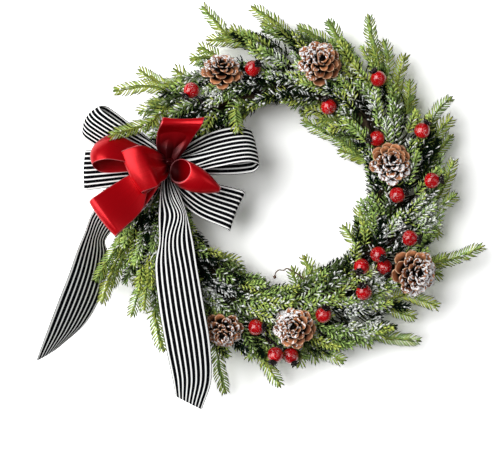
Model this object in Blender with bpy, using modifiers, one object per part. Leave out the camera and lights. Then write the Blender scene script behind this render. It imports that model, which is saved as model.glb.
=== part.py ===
# Decorated grapevine wreath: a twisted vine ring dressed with pine sprigs, pine
# cones, red berries and two ribbon bows. It hangs on a wall, facing -Y, with the
# wall at y = 0 and the origin at the nail under the inner top of the ring.
# Places on the wreath are (clock, radius, depth): degrees clockwise from twelve
# as seen from the front, and millimetres from the ring's centre and to the front.
# Depth 0 lies WALL_ROOM off the wall.

import math

import bmesh
import bpy
from mathutils import Vector

MM = 0.001
GAP = 0.35                    # clearance left between pieces that touch
CAP_WELD = 0.01               # joins the caps of a tube to its sides
UNION_WELD = 0.0005           # joins only the points a union leaves in one place
SHARP_ANGLE = 40.0            # edges sharper than this are shaded as edges
COLLECTION = "grapevine_wreath"

# Vine ring
RING_RADIUS = 130.0           # centre line of the bundle of canes
CANE_COUNT = 6
CANE_RADIUS = 5.8
CANE_SPACING = 12.14          # between the centre lines of neighbouring canes
HELIX_RADIUS = 12.6           # canes wind round the bundle's centre line
HELIX_TWISTS = 3              # turns of each cane in one round of the ring
CANE_FIRST_END = 20.0         # clock of the first cane's cut end
CANE_OPEN_ARC = 8.0           # degrees between a cane's two cut ends
CANE_SEGMENTS = 50
RING_BACK = 0.5               # depth of the ring's back
WALL_ROOM = 1.6               # behind depth 0, for the wire that ties the bows

# Wires, stems and foliage
STEM_RADIUS = 1.3
SEAT_RUN = 7.0                # degrees of ring along which a stem lies in its groove
LIFT = 6.0                    # how far a stem has risen one step past its groove
LIFT_STEP = 2.5               # degrees of ring over which it rises
STEM_CLEARANCE = 0.2          # added to GAP, as a stem's straight steps cut its corners
SPRIG_RADIUS = 3.4            # thickest part of a sprig tip
SPRIG_PROFILE = (0.45, 0.8, 1.0, 0.92, 0.62, 0.24)
SPRIG_SAG = 0.06              # curl of a tip against its length
TIP_OVERLAP = 3.0             # how far a tip starts back inside its stem
TIP_STAGGER = 0.8             # each tip starts this much further back than the one before
TENDRIL_RADIUS = 0.9
TENDRIL_BUD = (2.0, 1.8, 2.6)
TIE_RADIUS = 0.8

# Cones and berries
CONE_DEPTH = 43.0             # back of a cone's lowest scales
CONE_SEAT_RUN = 5.0
STALK_OVERLAP = 3.0           # how far a cone's wire runs into it
BERRY_RADIUS = 9.4
BERRY_SEAT_RUN = 4.0
FORK_RADIUS = 1.17            # stem of a second or third berry
CALYX_OVERLAP = 0.8
CALYX_FORWARD = -0.45         # every berry looks partly to the front

# Ribbon bows
RIBBON_THICKNESS = 0.8
BOW_CLOCK = 285.5
BOW_RADIUS = 135.4

BUNDLE_RADIUS = HELIX_RADIUS + CANE_RADIUS
RING_DEPTH = BUNDLE_RADIUS + RING_BACK
CENTRE_Z = -(RING_RADIUS - BUNDLE_RADIUS)
GROOVE_RISE = math.sqrt((CANE_RADIUS + GAP + STEM_RADIUS) ** 2 - (CANE_SPACING / 2) ** 2)
GROOVE_OFFSET = HELIX_RADIUS * math.cos(math.pi / CANE_COUNT) + GROOVE_RISE + STEM_CLEARANCE


# ---------------------------------------------------------------- materials

def make_material(name, colour, roughness, metallic=0.0):
    material = bpy.data.materials.new(name)
    material.use_nodes = True
    shader = material.node_tree.nodes["Principled BSDF"]
    shader.inputs["Base Color"].default_value = (*colour, 1.0)
    shader.inputs["Roughness"].default_value = roughness
    shader.inputs["Metallic"].default_value = metallic
    material.diffuse_color = (*colour, 1.0)
    return material


# ---------------------------------------------------------------- places

def spot(clock, radius, depth):
    angle = math.radians(clock)
    return Vector((radius * math.sin(angle), -depth - WALL_ROOM, CENTRE_Z + radius * math.cos(angle)))


def bundle_spot(clock, phase, offset):
    # phase turns round the bundle's section: 0 outward, 90 to the front, 180 inward
    turn = math.radians(phase)
    return spot(clock, RING_RADIUS + offset * math.cos(turn), RING_DEPTH + offset * math.sin(turn))


def groove_phase(clock, phase):
    # the groove between two canes that lies nearest to a wanted phase
    step = 360.0 / CANE_COUNT
    first = HELIX_TWISTS * clock + step / 2
    return first + step * round((phase - first) / step)


def seat(clock, phase, run=SEAT_RUN):
    # points of a stem that lies in a groove and then lifts out of it
    start = groove_phase(clock, phase)
    points = []
    for ahead in (run, run / 2, 0.0):
        points.append(bundle_spot(clock + ahead, start + HELIX_TWISTS * ahead, GROOVE_OFFSET))
    step = math.copysign(LIFT_STEP, run)
    points.append(bundle_spot(clock - step, start - HELIX_TWISTS * step, GROOVE_OFFSET + LIFT))
    return points


def smooth_path(points, per_span=2):
    # a smooth curve through all the points, with the same count of samples in each span
    spans = [(end - start).length for start, end in zip(points, points[1:])]
    last = len(spans)
    slopes = []
    for i in range(last + 1):
        before = max(i - 1, 0)
        after = min(i + 1, last)
        slopes.append((points[after] - points[before]) / sum(spans[before:after]))
    path = []
    for i, span in enumerate(spans):
        for k in range(per_span):
            t = k / per_span
            path.append(points[i] * (2 * t ** 3 - 3 * t ** 2 + 1)
                        + slopes[i] * span * (t ** 3 - 2 * t ** 2 + t)
                        + points[i + 1] * (3 * t ** 2 - 2 * t ** 3)
                        + slopes[i + 1] * span * (t ** 3 - t ** 2))
    path.append(points[-1].copy())
    return path


# ---------------------------------------------------------------- mesh tools

def add_object(name, data, material):
    obj = bpy.data.objects.new(name, data)
    data.materials.append(material)
    parts.objects.link(obj)
    return obj


def add_tube(name, points, radii, material, sides=6, closed=False):
    # a curve with a round section whose radius may change from point to point
    curve = bpy.data.curves.new(name, "CURVE")
    curve.dimensions = "3D"
    curve.bevel_depth = MM
    curve.bevel_resolution = sides // 2 - 2
    curve.use_fill_caps = not closed
    spline = curve.splines.new("POLY")
    spline.points.add(len(points) - 1)
    spline.use_cyclic_u = closed
    if isinstance(radii, (int, float)):
        radii = [radii] * len(points)
    for knot, place, radius in zip(spline.points, points, radii):
        knot.co = (*(place * MM), 1.0)
        knot.radius = radius
    return add_object(name, curve, material)


def as_mesh(obj, weld):
    # the evaluated shape of an object, as a mesh object
    graph = bpy.context.evaluated_depsgraph_get()
    data = bpy.data.meshes.new_from_object(obj.evaluated_get(graph))
    shape = bmesh.new()
    shape.from_mesh(data)
    bmesh.ops.remove_doubles(shape, verts=shape.verts, dist=weld * MM)
    shape.to_mesh(data)
    shape.free()
    name = obj.name
    old = obj.data
    solid = bpy.data.objects.new(name + "_solid", data)
    parts.objects.link(solid)
    solid.matrix_world = obj.matrix_world
    bpy.data.objects.remove(obj)
    if isinstance(old, bpy.types.Curve):
        bpy.data.curves.remove(old)
    else:
        bpy.data.meshes.remove(old)
    solid.name = name
    return solid


def fuse(name, shapes):
    # one closed body made of shapes that run into each other
    body = as_mesh(shapes[0], CAP_WELD)
    for other in shapes[1:]:
        cutter = as_mesh(other, CAP_WELD)
        union = body.modifiers.new("union", "BOOLEAN")
        union.operation = "UNION"
        union.solver = "EXACT"
        union.object = cutter
        bpy.context.view_layer.update()
        body = as_mesh(body, UNION_WELD)
        bpy.data.objects.remove(cutter)
    body.name = name
    body.data.name = name
    body.data.shade_smooth()
    body.data.set_sharp_from_angle(angle=math.radians(SHARP_ANGLE))
    return body


def add_ball(name, place, size, material, segments=8, rings=5):
    # an ellipsoid whose size is its half widths along X, Y and Z
    data = bpy.data.meshes.new(name)
    shape = bmesh.new()
    bmesh.ops.create_uvsphere(shape, u_segments=segments, v_segments=rings, radius=1.0)
    for vert in shape.verts:
        vert.co = Vector((vert.co.x * size[0], vert.co.y * size[1], vert.co.z * size[2])) * MM
    shape.to_mesh(data)
    shape.free()
    obj = add_object(name, data, material)
    obj.location = place * MM
    return obj


def add_turned(name, profile, segments, material):
    # a profile of (radius, height) read from the top down, turned about Z
    data = bpy.data.meshes.new(name)
    shape = bmesh.new()
    verts = [shape.verts.new((radius * MM, 0.0, height * MM)) for radius, height in profile]
    for upper, lower in zip(verts, verts[1:]):
        shape.edges.new((upper, lower))
    shape.to_mesh(data)
    shape.free()
    obj = add_object(name, data, material)
    screw = obj.modifiers.new("turn", "SCREW")
    screw.steps = segments
    screw.render_steps = segments
    screw.use_merge_vertices = True
    screw.merge_threshold = 0.01 * MM
    return obj


def aim(obj, place, direction):
    obj.location = place * MM
    obj.rotation_mode = "QUATERNION"
    obj.rotation_quaternion = direction.to_track_quat("Z", "Y")
    bpy.context.view_layer.update()


# ---------------------------------------------------------------- vine ring

def add_cane(index, material):
    # one cane, wound in a long helix with the others, its two ends left open
    start = 360.0 * index / CANE_COUNT + CANE_FIRST_END
    span = 360.0 - CANE_OPEN_ARC
    first_phase = 360.0 * index / CANE_COUNT
    points = []
    for k in range(CANE_SEGMENTS + 1):
        clock = start + span * k / CANE_SEGMENTS
        points.append(bundle_spot(clock, first_phase + HELIX_TWISTS * clock, HELIX_RADIUS))
    add_tube(f"vine_cane_{index + 1}", points, CANE_RADIUS, material)


# ---------------------------------------------------------------- pine sprigs

# Each pick is a wired stem with tips fanning from one joint. Tips run the same
# way round, anticlockwise and outward, as they were bent when it was made.
# name: (seat clock, seat phase), joint, then the end, or the way, of each tip
PICKS = {
    "pine_pick_01": ((104, 45), (96, 178, 31), [(89.5, 209, 34), (78, 209, 40), (105, 195, 24)]),
    "pine_pick_02": ((88, 45), (76, 180, 30), [(70.5, 216, 28), (65.5, 222, 40), (60, 234, 33)]),
    "pine_pick_03": ((70, 45), (57, 178, 32), [(52.8, 198, 24), (48, 204, 42), (42, 224, 34)]),
    "pine_pick_04": ((55, 60), (40, 184, 28), [(33.5, 222, 28), (26, 237, 38), (32, 205, 44)]),
    "pine_pick_05": ((38, 45), (25, 180, 28), [(24, 197, 36), (15, 216, 32), (6, 203, 22)]),
    "pine_pick_06": ((21, 45), (5, 184, 32), [(351.5, 226, 32), (354, 204, 44)]),
    "pine_pick_07": ((3, 45), (350, 184, 28), [(337.5, 243, 34), (343, 205, 40), (337, 203, 22)]),
    "pine_pick_08": ((348, 45), (336, 180, 30), [(331, 200, 40), (326.5, 194, 28)]),
    "pine_pick_09": ((333, 45), (321, 178, 28), [(311.5, 226, 28), (302, 233, 36), (320, 196, 36)]),
    "pine_pick_10": ((320, 60), (309, 172, 40),
                     [(304.5, 190, 36), (300, 193, 45), [(303, 170, 56), (299, 172, 68), (288.6, 207, 86)]]),
    "pine_pick_11": ((296, 45), (283, 166, 20), [(270, 205, 20), (261, 196, 24)]),
    "pine_pick_12": ((273, 45), (257, 180, 30), [(245, 240, 46), (239, 246, 42), (250, 206, 12)]),
    "pine_pick_13": ((254, 45), (242, 172, 32), [(231, 228, 28), (229.5, 212, 44), (239, 210, 20)]),
    "pine_pick_14": ((233, 45), (224, 182, 28), [(217, 230, 32), (219, 212, 44)]),
    "pine_pick_15": ((217, 45), (205, 182, 28), [(195.5, 244, 28), (198, 202, 40), (210, 205, 34)]),
    "pine_pick_16": ((201, 45), (189, 176, 30), [(180, 226, 32), (191, 198, 36), (182, 206, 22)]),
    "pine_pick_17": ((181, 33), (170, 178, 28), [(167, 202, 26), (158.5, 210, 38), (174, 204, 38)]),
    "pine_pick_18": ((166, 45), (152, 176, 28), [(149, 210, 24), (136, 240, 32), (143, 205, 44)]),
    "pine_pick_19": ((149, 45), (136, 180, 28), [(132, 217, 26), (125, 229, 38)]),
    "pine_pick_20": ((133, 45), (118, 184, 22), [(116, 216, 20), (104, 248, 34), (110, 210, 38)]),
    "pine_pick_21": ((48, 145), (38, 112, 34), [(13, 96, 30), (17, 93, 42), (27, 101, 22)]),
    "pine_pick_22": ((80, 145), (68, 112, 32), [(52, 87, 36), (59, 100, 26)]),
    "pine_pick_23": ((137, 145), (122, 108, 32), [(115.5, 83, 30), (97.5, 95, 38)]),
    "pine_pick_24": ((180, 145), (168, 110, 32), [(158, 77, 32), (171, 86, 40), (150, 98, 28)]),
    "pine_pick_25": ((352, 145), (341, 110, 32), [(327, 92, 32), (330, 106, 22)]),
    "pine_pick_26": ((236, 145), (226, 108, 32), [(203, 106, 34), (215, 94, 28)]),
}


def add_pick(name, rest, joint, tips, material):
    root = spot(*joint)
    stem = smooth_path(seat(*rest) + [root])
    shapes = [add_tube(name, stem, STEM_RADIUS, material, sides=4)]
    back = (stem[-2] - root).normalized()
    for index, tip in enumerate(tips):
        fork = root + back * (TIP_OVERLAP + TIP_STAGGER * index)
        way = tip if isinstance(tip, list) else [tip]
        knots = [fork] + [spot(*place) for place in way]
        if len(knots) == 2:
            # tips curl a little outward along their length
            sag = (knots[1] - knots[0]).length * SPRIG_SAG
            middle = (knots[0] + knots[1]) / 2
            outward = (middle - Vector((0.0, middle.y, CENTRE_Z))).normalized()
            knots.insert(1, middle + outward * sag)
        path = smooth_path(knots)
        radii = []
        for k in range(len(path)):
            t = k / (len(path) - 1) * (len(SPRIG_PROFILE) - 1)
            low = min(int(t), len(SPRIG_PROFILE) - 2)
            level = SPRIG_PROFILE[low] + (SPRIG_PROFILE[low + 1] - SPRIG_PROFILE[low]) * (t - low)
            radii.append(level * SPRIG_RADIUS)
        shapes.append(add_tube(f"{name}_tip_{index}", path, radii, material))
    fuse(name, shapes)


# ---------------------------------------------------------------- pine cones

# name: (clock, radius), (seat clock, seat phase), size against the largest,
# lean as (right, up) off straight ahead
CONES = {
    "pine_cone_1": ((333.4, 155.5), (339.0, 27), 0.93, (0.05, 0.55)),
    "pine_cone_2": ((15.7, 159.0), (18.7, 86), 1.0, (0.15, 0.1)),
    "pine_cone_3": ((74.8, 132.0), (80.0, 90), 0.98, (0.05, 0.2)),
    "pine_cone_4": ((120.4, 177.0), (125.0, 45), 1.0, (0.3, -0.05)),
    "pine_cone_5": ((173.9, 156.5), (177.0, 81), 0.95, (-0.1, 0.1)),
    "pine_cone_6": ((203.3, 167.0), (212.0, 66), 0.88, (-0.1, -0.45)),
}

# radius and height of a full size cone, from its tip down to its stalk end
CONE_PROFILE = ((0.0, 36.0), (5.0, 34.5), (7.0, 31.0), (14.5, 30.0), (12.5, 24.5), (21.0, 22.5),
                (17.0, 15.5), (25.5, 11.0), (21.5, 5.5), (9.0, 0.5), (0.0, 0.0))


def add_cone(name, place, rest, scale, lean, material):
    direction = Vector((lean[0], -1.0, lean[1])).normalized()
    back = spot(*place, CONE_DEPTH)
    profile = [(radius * scale, height * scale) for radius, height in CONE_PROFILE]
    body = add_turned(name + "_scales", profile, 10, material)
    aim(body, back, direction)
    stalk = back + direction * (STALK_OVERLAP * scale)
    stem = smooth_path(seat(*rest, run=CONE_SEAT_RUN) + [back, stalk])
    fuse(name, [add_tube(name, stem, STEM_RADIUS, material, sides=4), body])


# ---------------------------------------------------------------- berries

# Wired berries, alone or two or three on one stem.
# name: (seat clock, seat phase), then (place, way the calyx looks) of each berry
BERRIES = {
    "berry_pick_01": ((323, 99), [((319.5, 160.5, 55), (-0.6, -0.7))]),
    "berry_pick_02": ((345, 100), [((347.5, 151.0, 56), (0.3, 0.2))]),
    "berry_pick_03": ((48, 54), [((40.0, 177.0, 54), (-0.6, 0.8))]),
    "berry_pick_04": ((32, 120), [((28.5, 118.0, 46), (-0.4, 0.7))]),
    "berry_pick_05": ((72, 6), [((65.5, 181.0, 54), (0.5, 0.9))]),
    "berry_pick_06": ((60, 150), [((59.5, 131.0, 46), (-0.9, -0.1))]),
    "berry_pick_07": ((96, 18), [((84.5, 177.0, 54), (0.9, 0.1))]),
    "berry_pick_08": ((93, 129), [((90.0, 136.0, 52), (0.8, 0.3))]),
    "berry_pick_09": ((115, 75), [((108.5, 158.5, 56), (0.9, -0.1))]),
    "berry_pick_10": ((128, 90), [((121.5, 132.5, 60), (0.2, -0.2)), ((131.5, 126.0, 52), (-0.2, -0.3)),
                                  ((124.5, 148.0, 44), (0.3, -0.8))]),
    "berry_pick_11": ((142, 60), [((139.5, 149.0, 54), (-0.2, 0.5))]),
    "berry_pick_12": ((161, 93), [((160.5, 148.5, 54), (0.2, 0.6))]),
    "berry_pick_13": ((194, 60), [((190.6, 157.0, 54), (0.7, 0.1))]),
    "berry_pick_14": ((193, 9), [((182.0, 186.0, 58), (-0.2, -0.5)), ((176.4, 188.5, 46), (0.3, -0.6))]),
}

CALYX_PROFILE = ((0.0, 3.4), (4.2, 4.6), (1.7, 0.0), (0.0, -2.0))


def add_berries(name, rest, fruit, materials):
    first = spot(*fruit[0][0])
    run = math.copysign(BERRY_SEAT_RUN, rest[0] - fruit[0][0][0])
    stem = smooth_path(seat(*rest, run=run) + [first])
    shapes = [add_tube(name, stem, STEM_RADIUS, materials["berry"], sides=4)]
    # further berries branch off half way along the stem
    branch = stem[-2]
    for place, look in fruit[1:]:
        fork = smooth_path([branch, spot(*place)])
        shapes.append(add_tube(f"{name}_fork", fork, FORK_RADIUS, materials["berry"], sides=4))
    for place, look in fruit:
        centre = spot(*place)
        way = Vector((look[0], CALYX_FORWARD, look[1])).normalized()
        ball = add_ball(f"{name}_ball", centre, (BERRY_RADIUS,) * 3, materials["berry"])
        calyx = add_turned(f"{name}_calyx", CALYX_PROFILE, 6, materials["berry"])
        aim(calyx, centre + way * (BERRY_RADIUS - CALYX_OVERLAP), way)
        shapes.extend([ball, calyx])
    bpy.context.view_layer.update()
    fuse(name, shapes)


# ---------------------------------------------------------------- tendril and tie

TENDRIL_SEAT = (172, 150)
TENDRIL_SEAT_RUN = 5.0
TENDRIL_WAY = ((167.0, 108.5, 36), (164.5, 104.0, 38), (166.5, 97.0, 40), (171.5, 90.0, 42), (175.0, 86.5, 40),
               (177.5, 88.5, 38), (181.0, 88.0, 37), (183.5, 91.5, 36), (184.0, 96.5, 36))


def add_tendril(material):
    # a dried curl of the vine with a bud at its end
    way = seat(*TENDRIL_SEAT, run=TENDRIL_SEAT_RUN) + [spot(*place) for place in TENDRIL_WAY]
    path = smooth_path(way)
    wire = add_tube("vine_tendril", path, TENDRIL_RADIUS, material, sides=4)
    bud = add_ball("tendril_bud", path[-1], TENDRIL_BUD, material, segments=6, rings=4)
    bpy.context.view_layer.update()
    fuse("vine_tendril", [wire, bud])


def add_bow_tie(material):
    # the wire that binds the bows to the ring, a closed turn round the bundle
    sides = 20
    reach = BUNDLE_RADIUS + GAP + TIE_RADIUS
    points = [bundle_spot(BOW_CLOCK, 360.0 * k / sides, reach) for k in range(sides)]
    add_tube("bow_tie_wire", points, TIE_RADIUS, material, sides=4, closed=True)


# ---------------------------------------------------------------- ribbon bows

# Places on a bow are (right, up, depth): millimetres from its knot as seen from
# the front, and its depth.
KNOT = spot(BOW_CLOCK, BOW_RADIUS, 0.0)
EDGE_STEPS = 3                # sections in each span of a loop
FRONT_SWELL = 0.7             # bulge of a loop's front ply, against half its opening
BACK_SWELL = 0.4              # and of its back ply

STRIPED_KNOT = {"depth": 45.5, "size": (11.0, 7.0, 11.0), "spread": 3.0, "waist": 10.0}
RED_KNOT = {"depth": 60.85, "size": (11.0, 8.0, 11.0), "spread": 3.5, "waist": 10.0}

# The two ends of each loop's fold, the space between its plies, and how far the
# edges flare and the front ply swells between the knot and the fold.
STRIPED_LOOPS = (
    {"ends": ((-81, 67, 74), (-105, 38, 42)), "opening": 14, "flare": 5, "swell": 2},
    {"ends": ((-99, 17, 43), (-101, -30, 38)), "opening": 9, "flare": 7, "swell": 0},
    {"ends": ((97, 40, 50), (105, -6, 68)), "opening": 12, "flare": 6, "swell": 3},
    {"ends": ((89, -33, 47), (71, -78, 44)), "opening": 8, "flare": 8, "swell": 1},
)
RED_LOOPS = (
    {"ends": ((-5, 50, 78), (42, 50, 78)), "opening": 13, "flare": 7, "swell": 2},
    {"ends": ((-51, 13, 94), (-28, -34, 94)), "opening": 14, "flare": 5, "swell": 4},
    {"ends": ((-80, 28, 72), (-88, -4, 90)), "opening": 12, "flare": 6, "swell": 2},
    {"ends": ((-90, -44, 76), (-59, -83, 82)), "opening": 13, "flare": 9, "swell": 2},
)

# The rolled centre loop: its round mouth, its pinched far end and where it starts.
ROLL_MOUTH = {"at": (15, -7, 91), "radius": 14.0}
ROLL_END = {"at": (59, -29, 76), "half_depth": 14.0, "half_width": 3.0}
ROLL_SECTIONS = 14
ROLL_START = 205.0            # degrees round the mouth where the rolled band starts
ROLL_TURN = 335.0             # degrees it turns through
ROLL_SPIRAL = 0.012           # part of its radius lost from one section to the next

# Outer and inner edge of each striped tail, from the knot down to its cut end.
FRONT_TAIL = (
    ((-4, -5, 46), (-12, -41, 53), (-11, -86, 62), (-17, -116, 68), (-10, -165, 74), (-2, -212, 75),
     (5, -246, 73), (9, -268, 72)),
    ((4, -5, 46), (17, -46, 55), (25, -84, 64), (33, -120, 70), (42, -165, 74), (49, -208, 75),
     (50, -250, 71), (39, -284, 68)),
)
SIDE_TAIL = (
    ((-5, -4, 45), (-32, -36, 47), (-70, -58, 51), (-98, -76, 56), (-112, -108, 58), (-134, -170, 54),
     (-148, -206, 48), (-157, -231, 42)),
    ((0, -7, 45), (-22, -46, 43), (-48, -72, 42), (-72, -90, 36), (-77, -114, 26), (-80, -150, 20),
     (-97, -186, 18), (-130, -214, 24)),
)


def bow_spot(right, up, depth):
    return KNOT + Vector((right, -depth, up))


def add_ribbon(name, edge_a, edge_b, material):
    # a band of ribbon between two edge curves, given its thickness
    data = bpy.data.meshes.new(name)
    shape = bmesh.new()
    row_a = [shape.verts.new(place * MM) for place in edge_a]
    row_b = [shape.verts.new(place * MM) for place in edge_b]
    for k in range(len(row_a) - 1):
        shape.faces.new((row_a[k], row_b[k], row_b[k + 1], row_a[k + 1]))
    shape.to_mesh(data)
    shape.free()
    obj = add_object(name, data, material)
    skin = obj.modifiers.new("thickness", "SOLIDIFY")
    skin.thickness = RIBBON_THICKNESS * MM
    skin.offset = 0.0
    return obj


def loop_edges(loop, knot):
    # both edges of a loop: out from the knot, over the fold and back behind
    corners = [bow_spot(*end) for end in loop["ends"]]
    fold = (corners[0] + corners[1]) / 2
    centre = bow_spot(0, 0, knot["depth"])
    along = (fold - centre).normalized()
    across = corners[0] - corners[1]
    across = (across - along * across.dot(along)).normalized()
    normal = along.cross(across)
    if normal.y > 0:
        normal = -normal
    front = centre + normal * knot["spread"]
    back = centre - normal * knot["spread"]
    half = loop["opening"] / 2
    edges = []
    for corner, side in zip(corners, (1, -1)):
        rim = across * side
        points = [
            front + rim * knot["waist"] / 2,
            front.lerp(corner, 0.5) + rim * loop["flare"] + normal * (half * FRONT_SWELL + loop["swell"]),
            corner - along * half + normal * half,
            corner,
            corner - along * half - normal * half,
            back.lerp(corner, 0.5) + rim * loop["flare"] - normal * half * BACK_SWELL,
            back + rim * knot["waist"] / 2,
        ]
        edges.append(smooth_path(points, EDGE_STEPS))
    return edges


def roll_edges(knot):
    # the centre loop: a band rolled round from a wide mouth to a flat end
    mouth = bow_spot(*ROLL_MOUTH["at"])
    end = bow_spot(*ROLL_END["at"])
    axis = (end - mouth).normalized()
    up = Vector((0.0, 0.0, 1.0))
    up = (up - axis * up.dot(axis)).normalized()
    side = axis.cross(up)
    depth_way = Vector((0.0, -1.0, 0.0))
    width_way = axis.cross(depth_way).normalized()
    edge_a = [bow_spot(-3, 4, knot["depth"] + 5)]
    edge_b = [bow_spot(3, -5, knot["depth"] + 3)]
    for k in range(ROLL_SECTIONS):
        turn = math.radians(ROLL_START - ROLL_TURN * k / (ROLL_SECTIONS - 1))
        spiral = 1.0 - ROLL_SPIRAL * k
        edge_a.append(mouth + (side * math.cos(turn) + up * math.sin(turn)) * ROLL_MOUTH["radius"] * spiral)
        edge_b.append(end + depth_way * math.cos(turn) * ROLL_END["half_depth"] * spiral
                      + width_way * math.sin(turn) * ROLL_END["half_width"] * spiral)
    return edge_a, edge_b


def add_knot(name, knot, material):
    return add_ball(name, bow_spot(0, 0, knot["depth"]), knot["size"], material, segments=10, rings=6)


def add_striped_bow(material):
    shapes = [add_knot("striped_bow", STRIPED_KNOT, material)]
    for loop in STRIPED_LOOPS:
        shapes.append(add_ribbon("striped_loop", *loop_edges(loop, STRIPED_KNOT), material))
    for tail in (FRONT_TAIL, SIDE_TAIL):
        edges = [smooth_path([bow_spot(*place) for place in edge]) for edge in tail]
        shapes.append(add_ribbon("striped_tail", *edges, material))
    bpy.context.view_layer.update()
    fuse("striped_bow", shapes)


def add_red_bow(material):
    shapes = [add_knot("red_bow", RED_KNOT, material)]
    for loop in RED_LOOPS:
        shapes.append(add_ribbon("red_loop", *loop_edges(loop, RED_KNOT), material))
    shapes.append(add_ribbon("red_roll", *roll_edges(RED_KNOT), material))
    bpy.context.view_layer.update()
    fuse("red_bow", shapes)


# ---------------------------------------------------------------- build

for old in list(bpy.data.objects):
    bpy.data.objects.remove(old, do_unlink=True)

parts = bpy.data.collections.new(COLLECTION)
bpy.context.scene.collection.children.link(parts)

materials = {
    "cane": make_material("dried_vine", (0.20, 0.11, 0.06), 0.8),
    "pine": make_material("pine_green", (0.16, 0.27, 0.06), 0.6),
    "cone": make_material("cone_scale", (0.35, 0.18, 0.09), 0.65),
    "berry": make_material("berry_red", (0.55, 0.01, 0.02), 0.2),
    "wire": make_material("tie_wire", (0.08, 0.10, 0.05), 0.45, 0.6),
    "stripe": make_material("striped_ribbon", (0.85, 0.85, 0.84), 0.6),
    "satin": make_material("red_satin", (0.60, 0.01, 0.03), 0.3),
}

for number in range(CANE_COUNT):
    add_cane(number, materials["cane"])
for label, (rest, joint, tips) in PICKS.items():
    add_pick(label, rest, joint, tips, materials["pine"])
for label, cone in CONES.items():
    add_cone(label, *cone, materials["cone"])
for label, (rest, fruit) in BERRIES.items():
    add_berries(label, rest, fruit, materials)
add_tendril(materials["cane"])
add_bow_tie(materials["wire"])
add_striped_bow(materials["stripe"])
add_red_bow(materials["satin"])
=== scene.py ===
import random
from math import atan2, copysign, cos, degrees, pi, radians, sin, sqrt

import bpy
import numpy as np
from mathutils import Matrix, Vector, noise
from mathutils.bvhtree import BVHTree


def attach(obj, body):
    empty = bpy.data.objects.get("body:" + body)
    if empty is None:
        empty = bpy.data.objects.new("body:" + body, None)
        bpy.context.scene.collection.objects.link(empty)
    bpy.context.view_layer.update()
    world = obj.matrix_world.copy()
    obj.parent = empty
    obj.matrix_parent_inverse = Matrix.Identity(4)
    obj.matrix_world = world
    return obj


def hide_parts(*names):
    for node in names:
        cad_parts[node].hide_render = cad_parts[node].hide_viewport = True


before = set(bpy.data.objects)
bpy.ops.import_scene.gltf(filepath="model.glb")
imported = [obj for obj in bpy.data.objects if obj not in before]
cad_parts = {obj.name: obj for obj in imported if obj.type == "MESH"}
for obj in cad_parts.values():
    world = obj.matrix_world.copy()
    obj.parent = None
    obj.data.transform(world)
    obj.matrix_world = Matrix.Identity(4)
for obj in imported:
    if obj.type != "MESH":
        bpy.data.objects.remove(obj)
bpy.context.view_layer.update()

mm = 0.001
print("stage: places")

# The vine ring. Places on the wreath are (clock, radius, depth): degrees clockwise from
# twelve as seen from the front, and millimetres from the ring's centre and off its back.
ring = {
    "radius": 130, "canes": 6, "caneRadius": 5.8, "spacing": 12.14, "helixRadius": 12.6, "twists": 3,
    "openArc": 8, "firstEnd": 20, "back": 0.5, "wallRoom": 1.6,
}
bundleRadius = ring["helixRadius"] + ring["caneRadius"]
ringDepth = bundleRadius + ring["back"]
centreZ = -(ring["radius"] - bundleRadius)
stem = {"radius": 1.3, "gap": 0.35, "clearance": 0.2, "seatRun": 7, "lift": 6, "liftStep": 2.5}
grooveRise = sqrt((ring["caneRadius"] + stem["gap"] + stem["radius"]) ** 2 - (ring["spacing"] / 2) ** 2)
grooveOffset = ring["helixRadius"] * cos(pi / ring["canes"]) + grooveRise + stem["clearance"]


def spot(clock, radius, depth):
    angle = radians(clock)
    return mm * Vector((radius * sin(angle), -depth - ring["wallRoom"], centreZ + radius * cos(angle)))


def bundleSpot(clock, phase, offset):
    # phase turns round the bundle's section: 0 outward, 90 to the front, 180 inward
    turn = radians(phase)
    return spot(clock, ring["radius"] + offset * cos(turn), ringDepth + offset * sin(turn))


def seat(clock, phase, run=stem["seatRun"]):
    # a stem's way along the groove between two canes, and out of it
    step = 360 / ring["canes"]
    first = ring["twists"] * clock + step / 2
    start = first + step * round((phase - first) / step)
    way = [bundleSpot(clock + a, start + ring["twists"] * a, grooveOffset) for a in (run, run / 2, 0)]
    lift = copysign(stem["liftStep"], run)
    return way + [bundleSpot(clock - lift, start - ring["twists"] * lift, grooveOffset + stem["lift"])]


def smoothPath(points, perSpan=4):
    # a smooth curve through all the points
    spans = [(end - start).length for start, end in zip(points, points[1:])]
    slopes = []
    for i in range(len(points)):
        before, after = max(i - 1, 0), min(i + 1, len(spans))
        slopes.append((points[after] - points[before]) / sum(spans[before:after]))
    path = []
    for i, span in enumerate(spans):
        for k in range(perSpan):
            t = k / perSpan
            path.append(points[i] * (2 * t ** 3 - 3 * t ** 2 + 1) + slopes[i] * span * (t ** 3 - 2 * t ** 2 + t)
                        + points[i + 1] * (3 * t ** 2 - 2 * t ** 3) + slopes[i + 1] * span * (t ** 3 - t ** 2))
    return path + [points[-1]]


def turned(first, second, angle):
    # the first direction turned by an angle towards the second
    return first * cos(angle) + second * sin(angle)


def array(points):
    return np.array(points, dtype=float)


def unit(vectors):
    return vectors / np.linalg.norm(vectors, axis=-1, keepdims=True)


def runOf(points):
    # the distance of each point from the first, along their line
    return np.concatenate([[0], np.cumsum(np.linalg.norm(np.diff(points, axis=0), axis=1))])


def walk(path, count):
    # count points at even distances along a path, and their directions
    points = array(path)
    run = runOf(points)
    at = np.linspace(0, run[-1], count)
    even = np.stack([np.interp(at, run, points[:, k]) for k in range(3)], axis=1)
    return even, unit(np.gradient(even, axis=0))


def smoothStep(low, high, value):
    t = np.clip((value - low) / (high - low), 0, 1)
    return t * t * (3 - 2 * t)


def addObject(name, data):
    made = bpy.data.objects.new(name, data)
    bpy.context.scene.collection.objects.link(made)
    return made


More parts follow.
